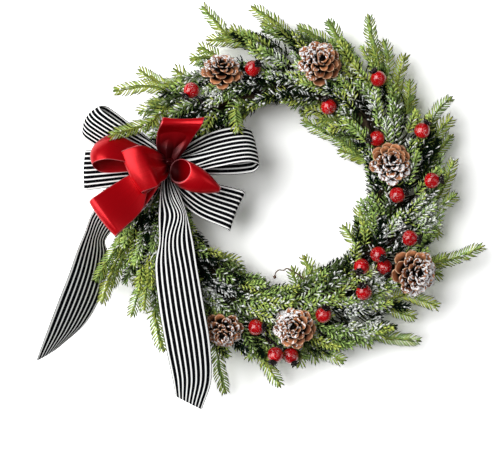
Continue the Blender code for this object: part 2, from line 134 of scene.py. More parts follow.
# Camera
camera = {"distance": 1.3, "aim": (-0.036, -0.019, -0.0402), "frameWidth": 0.6, "sensor": 36}


def addCamera():
    data = bpy.data.cameras.new("camera")
    data.sensor_width = camera["sensor"]
    data.lens = camera["sensor"] * camera["distance"] / camera["frameWidth"]
    view = addObject("camera", data)
    x, y, up = camera["aim"]
    view.location = (x, y - camera["distance"], centreZ * mm + up)
    view.rotation_euler = (pi / 2, 0, 0)
    bpy.context.scene.camera = view


addCamera()


# Shaders
class Value:
    # a socket that can be used in a sum
    def __init__(self, paint, socket):
        self.paint, self.socket = paint, socket

    def math(self, operation, *others):
        return self.paint.node("Math", {"operation": operation}, dict(enumerate((self, *others))))

    def __add__(self, other):
        return self.math("ADD", other)

    def __sub__(self, other):
        return self.math("SUBTRACT", other)

    def __mul__(self, other):
        return self.math("MULTIPLY", other)

    def __rsub__(self, other):
        return self.paint.node("Math", {"operation": "SUBTRACT"}, {0: other, 1: self})

    def __abs__(self):
        return self.math("ABSOLUTE")

    __radd__ = __add__
    __rmul__ = __mul__

    def ramp(self, low, high):
        # 0 below low, 1 above high and a straight line between
        return self.paint.node("MapRange", {"clamp": True}, {"Value": self, "From Min": low, "From Max": high})


class Paint:
    # a material, and the nodes that are added to it
    def __init__(self, name, **finish):
        self.material = bpy.data.materials.new(name)
        self.material.use_nodes = True
        self.tree = self.material.node_tree
        self.set(**finish)

    def feed(self, node, values):
        for key, value in values.items():
            named = [s for s in node.inputs if key in (s.identifier, s.name)]
            socket = node.inputs[key] if isinstance(key, int) else named[0]
            if isinstance(value, Value):
                self.tree.links.new(value.socket, socket)
            elif socket.type == "RGBA":
                socket.default_value = (*value, 1)
            else:
                socket.default_value = value

    def node(self, kind, settings={}, values={}, out=0):
        made = self.tree.nodes.new("ShaderNode" + kind)
        for key, value in settings.items():
            setattr(made, key, value)
        self.feed(made, values)
        return Value(self, made.outputs[out])

    def set(self, **values):
        surface = self.tree.nodes["Principled BSDF"]
        self.feed(surface, {key.replace("_", " "): value for key, value in values.items()})
        return self.material

    def mix(self, factor, first, second):
        return self.node("Mix", {"data_type": "RGBA"}, {"Factor_Float": factor, "A_Color": first, "B_Color": second}, 2)

    def noise(self, scale, detail=2, where=None):
        where = where or self.node("TexCoord", out=3)
        return self.node("TexNoise", {}, {"Vector": where, "Scale": scale, "Detail": detail})

    def attribute(self, name, part):
        # one channel of a colour attribute: 0, 1 or 2, or 3 for its alpha
        if part == 3:
            return self.node("Attribute", {"attribute_name": name}, out=3)
        return self.node("SeparateColor", {}, {"Color": self.node("Attribute", {"attribute_name": name})}, part)

    def marks(self, name, stretch):
        # marks on the surface, stretched across and along
        where = self.node("UVMap", {"uv_map": name})
        return self.node("Mapping", {}, {"Vector": where, "Scale": (*stretch, 1)})

    def mark(self, name, part):
        return self.node("SeparateXYZ", {}, {"Vector": self.node("UVMap", {"uv_map": name})}, part)

    def bump(self, height, strength, distance):
        return self.node("Bump", {}, {"Height": height, "Strength": strength, "Distance": distance * mm})


def pinePaint():
    # the attribute holds: brightness along a needle, tone of its sprig, flock, and bark
    paint = Paint("pineNeedles", Specular_IOR_Level=0.03)
    along, tone, flock, bark = (paint.attribute("pine", part) for part in range(4))
    dark = paint.mix(tone, (0.001, 0.003, 0.001), (0.01, 0.022, 0.003))
    light = paint.mix(tone.ramp(0, 0.65), (0.002, 0.01, 0.004), (0.58, 0.85, 0.25))
    light = paint.mix(tone.ramp(0.6, 1), light, (0.74, 0.82, 0.17))
    green = paint.mix(along.ramp(0.12, 0.9), dark, light)
    green = paint.mix(bark, green, (0.014, 0.016, 0.006))
    snow = flock.ramp(0.1, 0.5) * paint.noise(600).ramp(0.62, 0.48)
    snow = snow.math("MAXIMUM", (flock - 1).ramp(0.1, 0.2))
    colour = paint.mix(snow, green, (0.94, 0.96, 0.94))
    return paint.set(Base_Color=colour, Roughness=0.45 + 0.4 * snow)


def barkPaint():
    paint = Paint("vineBark", Roughness=0.85, Specular_IOR_Level=0.12)
    fibre = paint.noise(1, 5, paint.marks("bark", (26, 1.2)))
    brown = paint.mix(fibre.ramp(0.3, 0.7), (0.02, 0.011, 0.006), (0.1, 0.058, 0.034))
    colour = paint.mix(paint.noise(45, 3).ramp(0.5, 0.8), brown, (0.15, 0.11, 0.08))
    return paint.set(Base_Color=colour, Normal=paint.bump(fibre, 0.8, 0.8))


def conePaint():
    # the attribute holds: place along a scale, its tone, and snow
    paint = Paint("coneScales", Specular_IOR_Level=0.15)
    along, tone, snow = (paint.attribute("cone", part) for part in range(3))
    grain = paint.noise(420, 3)
    warm = paint.mix(tone, (0.27, 0.08, 0.028), (0.74, 0.29, 0.12))
    warm = paint.mix(grain.ramp(0.35, 0.7) * 0.5, warm, (0.12, 0.036, 0.018))
    # painted shade: each scale is near black at its foot, where the scale above shades it, and warm brown further out
    brown = paint.mix(along.ramp(0.6, 0.87), (0.004, 0.002, 0.001), warm)
    rim = paint.mix(along.ramp(0.88, 0.98), brown, (0.92, 0.62, 0.4))
    dusted = (snow - paint.noise(380).ramp(0.38, 0.6)).ramp(0, 0.1)
    colour = paint.mix(dusted, rim, (0.98, 0.97, 0.98))
    bump = paint.bump(grain + dusted * 0.8, 0.5, 0.8)
    return paint.set(Base_Color=colour, Roughness=0.5 + 0.35 * dusted, Normal=bump)


def berryPaint():
    paint = Paint("berrySkin", Coat_Weight=0.8, Coat_Roughness=0.06, Specular_IOR_Level=0.2)
    red = paint.mix(paint.noise(90).ramp(0.35, 0.7), (0.3, 0, 0.002), (0.56, 0, 0.003))
    dust = (paint.noise(1500, 1) + paint.noise(170) * 0.45).ramp(0.91, 0.95) * 0.95
    colour = paint.mix(dust, red, (0.92, 0.88, 0.88))
    return paint.set(Base_Color=colour, Roughness=0.14 + 0.5 * dust, Normal=paint.bump(dust, 0.3, 0.15))


def stripePaint():
    # eight bands run the length of the ribbon, with a fine line along each edge
    paint = Paint("stripedRibbon", Roughness=0.75, Specular_IOR_Level=0.03)
    centred = paint.mark("ribbon", 0) - 0.5
    bands = (centred * 8.58 + 4).math("FRACT")
    black = abs(bands - 0.5).ramp(0.355, 0.315)
    edge = abs(centred)
    black = black * edge.ramp(0.468, 0.464) + edge.ramp(0.485, 0.489)
    rib = (paint.mark("ribbon", 1) * 1400).math("SINE") * 0.5 + 0.5
    white = paint.mix(rib * 0.1, (0.9, 0.9, 0.89), (0.7, 0.7, 0.7))
    ink = paint.mix(rib * 0.3, (0.001, 0.001, 0.002), (0.005, 0.005, 0.008))
    colour = paint.mix(black, white, ink)
    return paint.set(Base_Color=colour, Normal=paint.bump(rib, 0.25, 0.15))


def satinPaint():
    paint = Paint("redSatin", Metallic=0.42, Specular_IOR_Level=0.3)
    # painted shade: the satin is painted near black in the knot and near it, where the loops shade it; the attribute is
    # 1 in the knot and 0 away from it
    shadeNearKnot = paint.attribute("tuck", 0)  # 1 in the knot, 0 away from it
    slub = paint.noise(1, 3, paint.marks("ribbon", (90, 12)))
    colour = paint.mix(slub.ramp(0.3, 0.7), (0.43, 0, 0.003), (0.53, 0, 0.006))
    colour = paint.mix(shadeNearKnot.ramp(0.05, 0.8) * 0.95, colour, (0.025, 0, 0.001))
    # painted highlight: a pale pink line along each edge, as where the edge catches light, dimmed in the painted shade
    # by the knot
    edgeHighlight = abs(paint.mark("ribbon", 0) - 0.5).ramp(0.48, 0.49)
    colour = paint.mix(edgeHighlight * (1 - shadeNearKnot) * 0.6, colour, (0.8, 0.22, 0.24))
    height = slub * 0.6 + (paint.mark("ribbon", 1) * 2200).math("SINE") * 0.05
    return paint.set(Base_Color=colour, Roughness=0.25 + 0.08 * slub, Normal=paint.bump(height, 0.25, 0.3))


def grainPaint(name, grain, edges, first, second, bump=None, **finish):
    # one colour that passes into another with the grain
    paint = Paint(name, **finish)
    grain = paint.noise(*grain)
    more = {"Normal": paint.bump(grain, *bump)} if bump else {}
    return paint.set(Base_Color=paint.mix(grain.ramp(*edges), first, second), **more)


paints = {
    "pine": pinePaint(),
    "bark": barkPaint(),
    "cone": conePaint(),
    "berry": berryPaint(),
    "calyx": grainPaint("berryCalyx", (800, 2), (0.64, 0.7), (0.008, 0.003, 0.003), (0.7, 0.66, 0.66),
                        Roughness=0.7, Specular_IOR_Level=0.15),
    "stripe": stripePaint(),
    "satin": satinPaint(),
    "twig": grainPaint("driedTwig", (500, 3), (0.3, 0.7), (0.055, 0.03, 0.018), (0.18, 0.11, 0.07), (0.6, 0.4),
                       Roughness=0.8),
    "wire": grainPaint("tieWire", (700, 2), (0.5, 0.8), (0.035, 0.06, 0.025), (0.12, 0.13, 0.09),
                       Roughness=0.4, Metallic=0.5),
}


# Mesh tools
class Shape:
    # points, faces, four notes for each point and a mark for each corner, gathered into one mesh
    def __init__(self):
        self.points, self.faces, self.notes, self.slots, self.marks, self.count = [], [], [], [], [], 0

    def add(self, points, faces, notes=(0, 0, 0, 0), slot=0):
        # notes are the same for all the points, or one row for each
        points = np.asarray(points, dtype=float).reshape(-1, 3)
        self.points.append(points)
        self.notes.append(np.broadcast_to(notes, (len(points), 4)))
        self.faces += [tuple(i + self.count for i in face) for face in faces]
        self.slots += [slot] * len(faces)
        self.count += len(points)

    def addCopies(self, points, faces, notes):
        # points and notes are (copies, points of one, ...) arrays that share one list of faces
        copies, size = points.shape[:2]
        every = np.array(faces)[None] + (np.arange(copies) * size)[:, None, None]
        self.add(points, every.reshape(-1, len(faces[0])).tolist(), notes.reshape(-1, 4))

    def build(self, node, slot, materials, attribute=None, layer=None):
        # the mesh as an object that rides on the root in its solid's place
        first, *words = node.split("_")
        name = first + "".join(word.capitalize() for word in words)
        mesh = bpy.data.meshes.new(name)
        mesh.from_pydata(np.concatenate(self.points).tolist(), [], self.faces)
        for material in materials:
            mesh.materials.append(paints[material])
        mesh.polygons.foreach_set("material_index", self.slots)
        if attribute:
            made = mesh.attributes.new(attribute, "FLOAT_COLOR", "POINT")
            made.data.foreach_set("color", np.concatenate(self.notes).ravel())
        if layer:
            mesh.uv_layers.new(name=layer).data.foreach_set("uv", self.marks)
        mesh.shade_smooth()
        mesh.update()
        obj = addObject(name, mesh)
        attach(obj, "root")
        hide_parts(node)
        return obj


def frames(ways):
    # two directions across each step of a path, without twist
    side = Vector(ways[0]).orthogonal().normalized()
    sides = []
    for way in map(Vector, ways):
        side = (side - way * side.dot(way)).normalized()
        sides.append(tuple(side))
    return np.array(sides), np.cross(ways, sides)


def gridFaces(rows, columns, closed=False):
    # the faces of a grid of points, which can be closed round its columns
    faces = []
    for row in range(0, (rows - 1) * columns, columns):
        for j in range(columns if closed else columns - 1):
            a, b = row + j, row + (j + 1) % columns
            faces.append((a, b, b + columns, a + columns))
    return faces


def tubeFaces(rings, sides):
    last = (rings - 1) * sides
    return gridFaces(rings, sides, True) + [tuple(reversed(range(sides))), tuple(range(last, last + sides))]


def tubePoints(centres, ways, radii, sides):
    # rings of points round a path, with a radius for each ring or for each point
    u, v = frames(ways)
    turns = np.linspace(0, 2 * np.pi, sides, endpoint=False)[None, :, None]
    out = np.cos(turns) * u[:, None] + np.sin(turns) * v[:, None]
    return centres[:, None] + out * np.reshape(radii, (len(centres), -1, 1)) * mm


def addTube(shape, path, radii, sides, steps, notes=(0, 0, 0, 0), slot=0):
    # radii are spread evenly along the path
    centres, ways = walk(path, steps)
    widths = np.interp(np.linspace(0, 1, steps), np.linspace(0, 1, len(radii)), radii)
    shape.add(tubePoints(centres, ways, widths, sides), tubeFaces(steps, sides), notes, slot)


print("stage: vine canes")
cane = {
    "steps": 300, "sides": 14, "bark": 0.3, "ridges": 5, "ridge": 0.28, "sway": (9, 4), "wobble": 0.22, "lumps": 160,
    "joints": (11, 0.37, 0.0016), "swell": 0.35, "blunt": (0.002, 0.9), "markStep": 0.05,
}


def addCane(index):
    phase = 360 * index / ring["canes"]
    span = 360 - ring["openArc"]
    steps, sides = cane["steps"], cane["sides"]
    clocks = [phase + ring["firstEnd"] + span * k / (steps - 1) for k in range(steps)]
    centres = array([bundleSpot(clock, phase + ring["twists"] * clock, ring["helixRadius"]) for clock in clocks])
    turns = np.linspace(0, 2 * np.pi, sides, endpoint=False)
    along = np.linspace(0, 1, steps)[:, None]
    sway, waves = cane["sway"]
    ridges = cane["ridge"] * np.sin(cane["ridges"] * turns[None] + sway * np.sin(waves * along * np.pi + index))
    rough = np.array([[noise.noise(Vector(c) * cane["lumps"] + Vector((cos(t), sin(t), index)))
                       for t in turns] for c in centres])
    joints, offset, reach = cane["joints"]
    joints = np.exp(-((along * joints + offset * index) % 1 - 0.5) ** 2 / reach)
    radius = ring["caneRadius"] - cane["bark"] + ridges + cane["wobble"] * rough + cane["swell"] * joints
    end, narrow = cane["blunt"]
    radius *= np.where((along < end) | (along > 1 - end), narrow, 1)
    shape = Shape()
    shape.add(tubePoints(centres, unit(np.gradient(centres, axis=0)), radius, sides), tubeFaces(steps, sides))
    for face in shape.faces:
        columns = [place % sides for place in face]
        wraps = max(columns) - min(columns) > sides // 2
        for place, column in zip(face, columns):
            shape.marks += ((sides if wraps and column == 0 else column) / sides, place // sides * cane["markStep"])
    shape.build(f"vine_cane_{index + 1}", "dried_vine", ["bark"], layer="bark")


for number in range(ring["canes"]):
    addCane(number)


# Ribbon bows. Places on a bow are (right, up, depth): millimetres from the knot and its depth.
print("stage: ribbon bows")
bow = {
    "clock": 285.5, "radius": 135.4, "width": 50.8, "thickness": 0.45, "loopSteps": 9, "tailSteps": 8,
    # painted shade by the knot: how dark it is on the knot's own wrap, and how far it reaches along the ribbon
    "columns": 33, "knotGrid": (25, 13), "knotMark": 0.002, "knotWrapShade": 0.9, "wrapRadius": 10, "tuck": 22,
    # where the tails sway: how far from the knot, over what reach and which way
    "sweep": ((55, 16, 1), (90, 18, -0.45)),
}
knotPlace = spot(bow["clock"], bow["radius"], 0)
# a loop: the ends of its fold, its opening, flare and swell, then what differs in its edges and in its band
stripedBow = {
    "knot": {"depth": 45.5, "size": (11, 7, 11), "spread": 3, "waist": 17},
    "loops": (
        (((-79, 66, 66), (-102, 36, 46)), 17, (6, 9), 2, {}, {"crown": 5}),
        (((-99, 17, 43), (-101, -30, 38)), 9, (7, 7), 0, {}, {}),
        (((96, 40, 48), (105, -3, 76)), 22, (11.5, 10), 3, {}, {"crown": 3}),
        (((89, -33, 47), (71, -78, 44)), 8, (-2, 17), 1, {}, {}),
    ),
    "pleats": 1.5, "pleatDepth": 4.5, "pleatReach": 60, "squeeze": 0.07, "cup": 1.5,
}
redBow = {
    "knot": {"depth": 60.85, "size": (11, 8, 11), "spread": 3.5, "waist": 10},
    "loops": (
        # the top loop's painted shade reaches further out from the knot
        (((-4, 50, 94), (43, 50, 96)), 12, (10, 5), -8, {"shoulder": (12, 6)}, {"pleat": 0.4, "tuck": 68}),
        (((-52, 12, 88), (-28, -34, 88)), 26, (10, 8), 1.5,
         {"rise": 5, "shoulder": (10, 10), "out": 0.55, "roundness": 1.05}, {"crown": 1, "pleat": 0.35}),
        (((-76, 28, 68), (-84, -2, 90)), 26, (2, 6), 2, {}, {"crown": 5}),
        (((-88, -45, 88), (-58, -84, 90)), 12, (7, 7), -5, {"shoulder": (9, -5), "roundness": 0.85}, {}),
    ),
    "pleats": 2, "pleatDepth": 5.5, "pleatReach": 46, "squeeze": 0.04, "cup": 2,
}
roll = {
    "mouth": (15, -9, 88), "mouthRadius": 13.5, "mouthWay": (-0.35, -0.9, 0.1), "end": (60, -31, 75),
    "halfDepth": 9, "halfWidth": 3, "sections": 48, "start": 165, "turn": 372, "spiral": 0.08,
    "starts": ((-3, 4, 5), (3, -5, 3)),
    # shade: where the roll's painted shade fades out, in millimetres to the right of the knot
    "style": {"pleatDepth": 0, "pleatReach": 90, "squeeze": 0, "cup": -4.8, "lip": (-2.2, 0, -4.5),
              "shade": (6, 27)},
}
frontTail = (
    ((-4, -5, 46), (-9, -22, 49), (-11, -40, 53), (-12, -62, 58), (-11, -90, 63), (-15, -118, 68), (-10, -165, 74),
     (-2, -212, 75), (5, -246, 73), (9, -268, 72)),
    ((-1, -6, 46), (6, -22, 51), (14, -38, 56), (22, -61, 61), (29, -90, 66), (34, -120, 70), (42, -165, 74),
     (49, -208, 75), (50, -250, 71), (39, -284, 68)),
)
sideTail = (
    ((-5, -4, 45), (-40, -20, 46), (-72, -34, 49), (-90, -58, 54), (-98, -80, 56), (-106, -100, 58), (-116, -128, 57),
     (-130, -163, 55), (-146, -203, 48), (-157, -231, 42)),
    ((0, -7, 45), (-20, -43, 43), (-47, -66, 42), (-67, -77, 38), (-77, -90, 34), (-75, -104, 28), (-77, -130, 23),
     (-86, -160, 20), (-104, -190, 19), (-130, -214, 24)),
)


def bowSpot(right, up, depth):
    return knotPlace + mm * Vector((right, -depth, up))


def loopEdges(knot, ends, opening, flare, swell, rise=None, shoulder=None, out=0.58, roundness=1):
    # both edges of a loop: out from the knot, over the fold and back behind
    corners = [bowSpot(*end) for end in ends]
    fold = (corners[0] + corners[1]) / 2
    centre = bowSpot(0, 0, knot["depth"])
    along = (fold - centre).normalized()
    across = corners[0] - corners[1]
    across = (across - along * across.dot(along)).normalized()
    normal = along.cross(across)
    if normal.y > 0:
        normal = -normal
    front = centre + normal * knot["spread"] * mm
    back = centre - normal * knot["spread"] * mm
    half = opening / 2 * mm
    waist = knot["waist"] / 2 * mm
    rise = (half / mm * 0.2 + swell * 0.4 if rise is None else rise) * mm
    edges = []
    for i, corner in enumerate(corners):
        wide = flare[i] * mm
        broad = shoulder[i] * mm if shoulder else waist * 0.5 + wide * 0.9
        rim = -across if i else across
        edges.append(smoothPath([
            front + rim * waist,
            front.lerp(corner, 0.28) + rim * broad + normal * rise,
            front.lerp(corner, out) + rim * wide + normal * (half * 0.65 + swell * mm),
            corner - along * half * roundness + normal * half,
            corner,
            corner - along * half - normal * half,
            back.lerp(corner, 0.5) + rim * wide - normal * half * 0.4,
            back + rim * waist,
        ], bow["loopSteps"]))
    return edges


def rollEdges(knot):
    # the centre loop: a band rolled round from a wide mouth, which faces the front, to a flat end
    mouth, end = bowSpot(*roll["mouth"]), bowSpot(*roll["end"])
    facing = Vector(roll["mouthWay"]).normalized()
    side = (Vector((1, 0, 0)) - facing * facing.x).normalized()
    up = side.cross(facing)
    depthWay = Vector((0, -1, 0))
    widthWay = (end - mouth).normalized().cross(depthWay).normalized()
    edges = [[bowSpot(right, height, knot["depth"] + lift)] for right, height, lift in roll["starts"]]
    for k in range(roll["sections"]):
        part = k / (roll["sections"] - 1)
        turn = radians(roll["start"] - roll["turn"] * part)
        spiral = (1 - roll["spiral"] * part) * mm
        edges[0].append(mouth + turned(side, up, turn) * roll["mouthRadius"] * spiral)
        edges[1].append(end + depthWay * cos(turn) * roll["halfDepth"] * spiral
                        + widthWay * sin(turn) * roll["halfWidth"] * spiral)
    return edges


def addGrid(shape, points, across, along, notes):
    # a grid of points, and its marks across and along the ribbon
    rows, columns = points.shape[:2]
    faces = gridFaces(rows, columns)
    for place in np.ravel(faces).tolist():
        shape.marks += (across[place % columns], along[place // columns])
    shape.add(points, faces, notes)


def ribbonBand(shape, edges, style, ends=1, crown=0, pleat=1, tuck=bow["tuck"]):
    # a band between two edges, pleated near the ends that go into the knot
    a, b = (array(edge) for edge in edges)
    middle = (a + b) / 2
    run = runOf(middle)
    across = b - a
    normal = np.cross(np.gradient(middle, axis=0), across)
    normal /= np.linalg.norm(normal, axis=1, keepdims=True) + 1e-12
    u = np.linspace(0, 1, bow["columns"])
    hump = 1 - (2 * u - 1) ** 2
    nearest = np.minimum(run, run[-1] - run) if ends == 2 else run
    folds = 1 - smoothStep(0, style["pleatReach"] * mm, nearest)[:, None]
    wave = np.sin(2 * np.pi * style["pleats"] * u) * folds * style["pleatDepth"] * pleat
    cup = style["cup"] * hump * (1 - folds)
    shift = style["squeeze"] * folds * np.sin(4 * np.pi * style["pleats"] * u + 0.6)
    if "sway" in style:
        sweep = sum(share * np.exp(-((run - at * mm) / (reach * mm)) ** 2) for at, reach, share in bow["sweep"])
        shift = shift + style["sway"] * sweep[:, None] * np.sin(np.pi * u)
    part = u + shift * (1 - (2 * u - 1) ** 8)
    points = a[:, None] + across[:, None] * part[..., None] + normal[:, None] * ((wave + cup) * mm)[..., None]
    if "lip" in style:
        lip = np.array(style["lip"])
        away = a - a[1:].mean(axis=0)
        lean = away @ lip / (np.linalg.norm(away, axis=1) * np.linalg.norm(lip) + 1e-12)
        swell = np.maximum(lean, 0)[:, None] * (u ** 0.4 * (1 - u) / 0.433)
        points += swell[..., None] * lip * mm
    if crown:
        outward = unit(middle[len(middle) // 2] - middle[0])
        swell = np.sin(np.pi * run / run[-1])[:, None] ** 4 * hump
        points += swell[..., None] * outward * crown * mm
    notes = np.zeros((*points.shape[:2], 4))
    # painted shade: the band darkens towards the ends that go into the knot
    notes[..., 0] = (1 - smoothStep(2 * mm, tuck * mm, nearest))[:, None]
    # painted shade on the roll: darker to the left, in its mouth and next to the knot
    if "shade" in style:
        near, far = style["shade"]
        aside = 1 - smoothStep(near * mm, far * mm, points[..., 0] - knotPlace.x)
        notes[..., 0] = np.maximum(notes[..., 0], aside)
    addGrid(shape, points, u, run, notes.reshape(-1, 4))
    return run[-1]


def knotWrap(shape, knot):
    # the ribbon's own turn round the middle of the bow
    centre = bowSpot(0, 0, knot["depth"])
    width, depth, height = knot["size"]
    rows, columns = bow["knotGrid"]
    points = []
    for turn in (2 * pi * i / (rows - 1) for i in range(rows)):
        for across in (2 * j / (columns - 1) - 1 for j in range(columns)):
            bulge = sqrt(1 - (0.8 * across) ** 2) + 0.06 * cos(9 * across)
            points.append(centre + mm * Vector((width * 0.75 * across, -depth * cos(turn) * bulge,
                                                height * 0.9 * sin(turn) * bulge)))
    across, along = np.arange(columns) / (columns - 1), np.arange(rows) * bow["knotMark"]
    # the knot's wrap carries the painted shade as well
    addGrid(shape, array(points).reshape(rows, columns, 3), across, along, (bow["knotWrapShade"], 0, 0, 0))
    return 2 * pi * bow["wrapRadius"] * mm


def addBow(node, slot, style, paint, extra):
    # the loops, what else the bow has, and its knot
    shape, length = Shape(), 0
    for *loop, more, band in style["loops"]:
        length += ribbonBand(shape, loopEdges(style["knot"], *loop, **more), style, ends=2, **band)
    length += extra(shape)
    length += knotWrap(shape, style["knot"])
    obj = shape.build(node, slot, [paint], "tuck", "ribbon")
    cloth = obj.modifiers.new("cloth", "SOLIDIFY")
    cloth.thickness = bow["thickness"] * mm
    cloth.offset = 0
    print("ribbon", obj.name, round(length, 3))
    return obj


def addTails(shape):
    length = 0
    for tail, sway in ((frontTail, 0.2), (sideTail, 0.07)):
        edges = [smoothPath([bowSpot(*place) for place in edge], bow["tailSteps"]) for edge in tail]
        length += ribbonBand(shape, edges, {**stripedBow, "sway": sway})
    return length


def addRoll(shape):
    return ribbonBand(shape, rollEdges(redBow["knot"]), {**redBow, **roll["style"]})


bows = [
    addBow("striped_bow", "striped_ribbon", stripedBow, "stripe", addTails),
    addBow("red_bow", "red_satin", redBow, "satin", addRoll),
]


print("stage: pine cones")
cone = {
    "scales": 32, "reach": 27, "depth": 43, "overlap": 3, "seatRun": 5, "width": 16.8, "thick": 0.8,
    "grid": (12, 9), "widest": 0.66, "tip": 0.34, "core": (7.5, 6, 2.4), "coreAt": (1, 12, 27),
    # how far out and up the scales start and end, from the lowest to the top one
    "foot": ((6.5, 1.5), (3, 22)), "end": (0.84, 1.5, 9, 26, 0.85), "narrower": 0.55,
    # what differs from one scale to the next
    "turn": 0.1, "outs": (-0.9, 0.5), "ups": (-1, 1), "widths": (0.92, 1.06), "roll": 0.12, "dust": 0.25,
}
# place, seat, size, lean (right, up), and snow: where it lies (right, up), how much, and how much more at the top
cones = [
    ((333.4, 155.5), (339, 27), 0.93, (0.05, 0.55), (-0.1, 1, 0.8, 0.25)),
    ((15.7, 159), (18.7, 86), 1, (0.15, 0.1), (-0.6, 0.6, 0.75, 0.25)),
    ((74.8, 132), (80, 90), 0.98, (0.05, 0.2), (-0.1, -1, 0.85, 0.25)),
    ((120.4, 177), (125, 45), 1.07, (0.22, -0.05), (0.7, -0.45, 1.1, 0.6)),
    ((173.9, 156.5), (177, 81), 0.95, (-0.1, 0.1), (-0.7, 0.3, 0.9, 0.25)),
    ((203.3, 167), (212, 66), 0.88, (-0.1, -0.45), (0.1, -0.2, 0.95, 0.25)),
]
goldenAngle = pi * (3 - sqrt(5))


def scaleForm():
    # one cone scale lying along +X, one unit long and wide: its points, faces and place along it
    rows, columns = cone["grid"]
    widest = cone["widest"]
    size = rows * columns
    top, bottom = [], []
    for t in (i / (rows - 1) for i in range(rows)):
        width = 0.4 + 0.6 * smoothStep(0, widest, t)
        if t > widest:
            width *= max(1 - ((t - widest) / cone["tip"]) ** 2.4, 0) ** 0.5
        for s in (2 * j / (columns - 1) - 1 for j in range(columns)):
            spoon = 0.05 * s * s * sin(pi * min(t * 1.1, 1)) - 0.04 * cos(pi * s) * t
            height = 0.07 * sin(pi * t) - 0.1 * smoothStep(0.7, 1, t) + spoon
            thick = 0.05 + 0.11 * smoothStep(0.5, 0.85, t) * (1 - 0.5 * s * s)
            edge = 0.5 * abs(s) ** 6 + 0.5 * smoothStep(0.93, 1, t)
            length = t + 0.015 * cos(9 * s) * t
            top.append((length, s * width / 2, height - thick * edge * 0.5))
            bottom.append((length - 0.015 * t, s * width / 2 * 0.98, height - thick * (1 - 0.5 * edge)))
    faces = []
    for a, b, c, d in gridFaces(rows, columns):
        faces += [(a, d, c, b), (a + size, b + size, c + size, d + size)]
    left = [i * columns for i in range(rows)]
    far = [size - columns + j for j in range(columns)]
    right = [place + columns - 1 for place in reversed(left)]
    near = list(reversed(range(columns)))
    for side in (left, far, right, near):
        faces += [(a, a + size, b + size, b) for a, b in zip(side, side[1:])]
    along = np.tile(np.repeat(np.linspace(0, 1, rows), columns), 2)
    across = np.tile(np.abs(np.linspace(-1, 1, columns)), 2 * rows)
    along = np.maximum(along, smoothStep(0.45, 0.6, along) * across)
    along[size:] *= 0.8
    return np.array(top + bottom), faces, along


scalePoints, scaleFaces, scaleAlong = scaleForm()


def addCone(name, place, rest, size, lean, snow):
    rng = random.Random(name)
    snowRight, snowUp, amount, topSnow = snow
    axis = Vector((lean[0], -1, lean[1])).normalized()
    base = spot(*place, cone["depth"])
    right = Vector((0, 0, 1)).cross(axis).normalized()
    up = axis.cross(right)
    shape = Shape()
    (footOut, coreOut), (footUp, footRise) = cone["foot"]
    taper, taperPower, endUp, endRise, risePower = cone["end"]
    for i in range(cone["scales"]):
        q = i / (cone["scales"] - 1)  # 0 at the base, 1 at the top
        turn = i * goldenAngle + rng.uniform(-cone["turn"], cone["turn"])
        radial = turned(right, up, turn)
        side = axis.cross(radial)
        start = Vector((footOut * (1 - q) + coreOut, footUp + footRise * q))
        end = Vector((cone["reach"] * (1 - q ** taperPower * taper), endUp + endRise * q ** risePower))
        end += Vector((rng.uniform(*cone["outs"]), rng.uniform(*cone["ups"])))
        length = (end - start).length * size
        tilt = atan2(end.y - start.y, end.x - start.x)
        width = cone["width"] * (1 - cone["narrower"] * q) * rng.uniform(*cone["widths"]) * size
        roll = rng.uniform(-cone["roll"], cone["roll"])
        along, over = turned(radial, axis, tilt), turned(axis, -radial, tilt)
        side, over = turned(side, over, roll), turned(over, -side, roll)
        foot = base + (radial * start.x + axis * start.y) * size * mm
        local = scalePoints * np.array([length, width, cone["thick"] * length]) * mm
        facing = radial.dot(right) * snowRight + radial.dot(up) * snowUp
        uneven = rng.uniform(-cone["dust"], cone["dust"])
        dust = np.clip(amount * (0.3 + 0.8 * facing * (1 - 0.4 * q) + topSnow * q + uneven), 0, 1)
        notes = np.zeros((len(local), 4))
        notes[:, 0] = scaleAlong
        notes[:, 1] = rng.random()
        notes[:, 2] = dust * smoothStep(0.45, 0.95, scaleAlong)
        shape.add(array(foot) + local @ array([along, side, over]), scaleFaces, notes)
    core = [base + axis * at * size * mm for at in cone["coreAt"]]
    addTube(shape, core, [radius * size for radius in cone["core"]], 12, 10)
    way = smoothPath(seat(*rest, run=cone["seatRun"]) + [base, base + axis * cone["overlap"] * size * mm])
    addTube(shape, way, (stem["radius"],) * 2, 8, 24, (0.25, 0.2, 0, 0))
    return shape.build(name, "cone_scale", ["cone"], "cone")


coneObjects = [addCone(f"pine_cone_{i + 1}", *facts) for i, facts in enumerate(cones)]


print("stage: berries")
berry = {
    "radius": 9.4, "forkRadius": 1.17, "seatRun": 4, "forward": -0.5, "grid": (19, 24), "drawn": (0.07, 0.05),
    "lumps": 0.015, "top": 1.04, "collar": (3.2, 2.4), "collarReach": (0.6, 1.2), "sepals": 7, "uneven": 0.15,
    "sepal": (1.5, 2, 0.35), "sepalLengths": (6.5, 9.5), "sepalRises": (2.4, 4),
}
